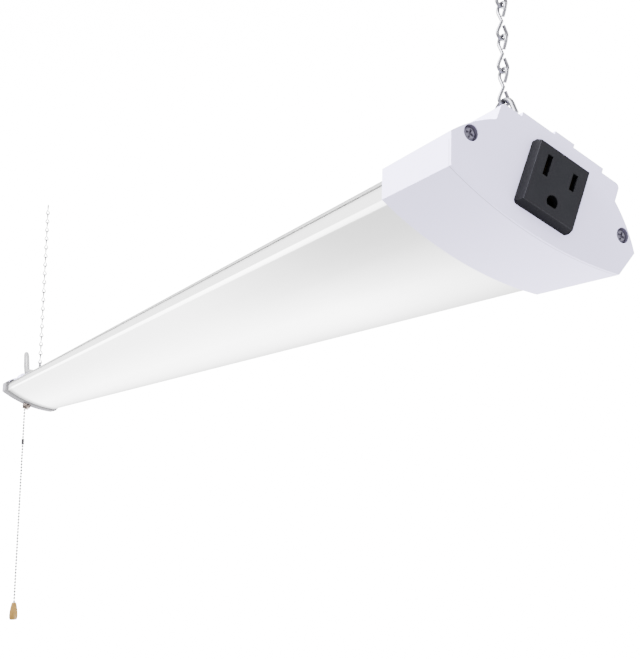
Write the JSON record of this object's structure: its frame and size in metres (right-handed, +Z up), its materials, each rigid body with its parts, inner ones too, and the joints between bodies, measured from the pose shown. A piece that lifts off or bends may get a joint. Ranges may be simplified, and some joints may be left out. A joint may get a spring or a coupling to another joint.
{
  "type": "hanging shop light",
  "caption": "Long hanging shop light on two jack chains, with a moulded cap at each end, a linking outlet, a power cord and a beaded pull chain with a wooden bell.",
  "frame": {"origin": "where the ceiling hook bears in the top link of the chain at the outlet end", "axes": "+X along the lamp towards the outlet end, +Z up, -Y the side that the tilted underside faces"},
  "size_m": [1.2775, 0.1042, 0.6529],
  "materials": {
    "cap_plastic": "satin moulded shell, faint lavender white",
    "painted_steel": "smooth light grey powder coat",
    "lens_plastic": "white frosted diffuser",
    "board": "white solder mask",
    "led_phosphor": "yellow phosphor chips",
    "case": "plain case",
    "zinc": "zinc plated",
    "hook_steel": "bright drawn wire",
    "black_plastic": "fine matt charcoal",
    "brass": "plain brass",
    "nickel": "fluted nickel",
    "cord_jacket": "smooth pale grey jacket",
    "wire_jacket": "plain wire jacket",
    "wood": "turned and varnished"
  },
  "bodies": {
    "ceiling": {"ceiling_link_near": "zinc", "ceiling_link_far": "zinc"},
    "near_chain": {"chain_near": "zinc"},
    "near_hook": {"hook_near": "hook_steel"},
    "lamp": {"housing": "painted_steel", "lens": "lens_plastic", "tray": "painted_steel", "led_board": "board", "leds": "led_phosphor", "driver": "case", "driver_screws": "zinc", "wiring": "wire_jacket", "end_plate_outlet": "painted_steel", "end_plate_power": "painted_steel", "outlet_cap": "cap_plastic", "power_cap": "cap_plastic", "outlet_cap_screws": "zinc", "power_cap_screws": "zinc", "outlet": "black_plastic", "outlet_contacts": "brass", "pull_switch": "black_plastic", "pull_switch_nut": "zinc", "pull_switch_collar": "nickel", "selector_switch": "black_plastic", "cord_gland": "black_plastic", "power_cord": "cord_jacket", "cord_hank": "cord_jacket", "hank_tie": "black_plastic", "cord_tail": "cord_jacket", "cord_plug": "black_plastic", "plug_blades": "brass"},
    "far_hook": {"hook_far": "hook_steel"},
    "far_chain": {"chain_far": "zinc"},
    "pull_lead": {"pull_lead": "zinc"},
    "pull_chain": {"pull_chain_upper": "zinc", "pull_connector": "zinc", "pull_chain_lower": "zinc", "pull_bell": "wood"},
    "selector": {"selector_knob": "black_plastic"}
  },
  "joints": [
    {"name": "swing", "type": "hinge", "parent": "ceiling", "child": "near_chain", "pos_m": [0, 0, -0.01527], "axis": [0, 1, 0], "range_deg": [-20, 20]},
    {"name": "near_hook_turn", "type": "hinge", "parent": "near_chain", "child": "near_hook", "pos_m": [0, 0, -0.26007], "axis": [0, 1, 0], "range_deg": [-20, 20]},
    {"name": "lamp_roll", "type": "hinge", "parent": "near_hook", "child": "lamp", "pos_m": [0, 0, -0.28759], "axis": [1, 0, 0], "range_deg": [-3, 47]},
    {"name": "far_hook_roll", "type": "hinge", "parent": "lamp", "child": "far_hook", "pos_m": [-1.154, 0, -0.28759], "axis": [1, 0, 0], "range_deg": [-47, 3]},
    {"name": "far_chain_turn", "type": "hinge", "parent": "far_hook", "child": "far_chain", "pos_m": [-1.154, 0, -0.26007], "axis": [0, 1, 0], "range_deg": [-20, 20]},
    {"name": "pull_lead_slide", "type": "slide", "parent": "lamp", "child": "pull_lead", "axis": [0, -0.3746, -0.9272], "range_m": [0, 0.008], "stiffness_N_per_m": 250, "springref_m": -0.002},
    {"name": "pull_chain_swing", "type": "hinge", "parent": "pull_lead", "child": "pull_chain", "pos_m": [-1.163, -0.01845, -0.33325], "axis": [1, 0, 0], "range_deg": [-25, 25]},
    {"name": "selector_slide", "type": "slide", "parent": "lamp", "child": "selector", "axis": [0, 0.3746, 0.9272], "range_m": [-0.005, 0.005]}
  ],
  "couplings": [
    {"joint": "near_hook_turn", "follows": "swing", "ratio": -1},
    {"joint": "far_hook_roll", "follows": "lamp_roll", "ratio": -1},
    {"joint": "far_chain_turn", "follows": "swing", "ratio": 1}
  ]
}
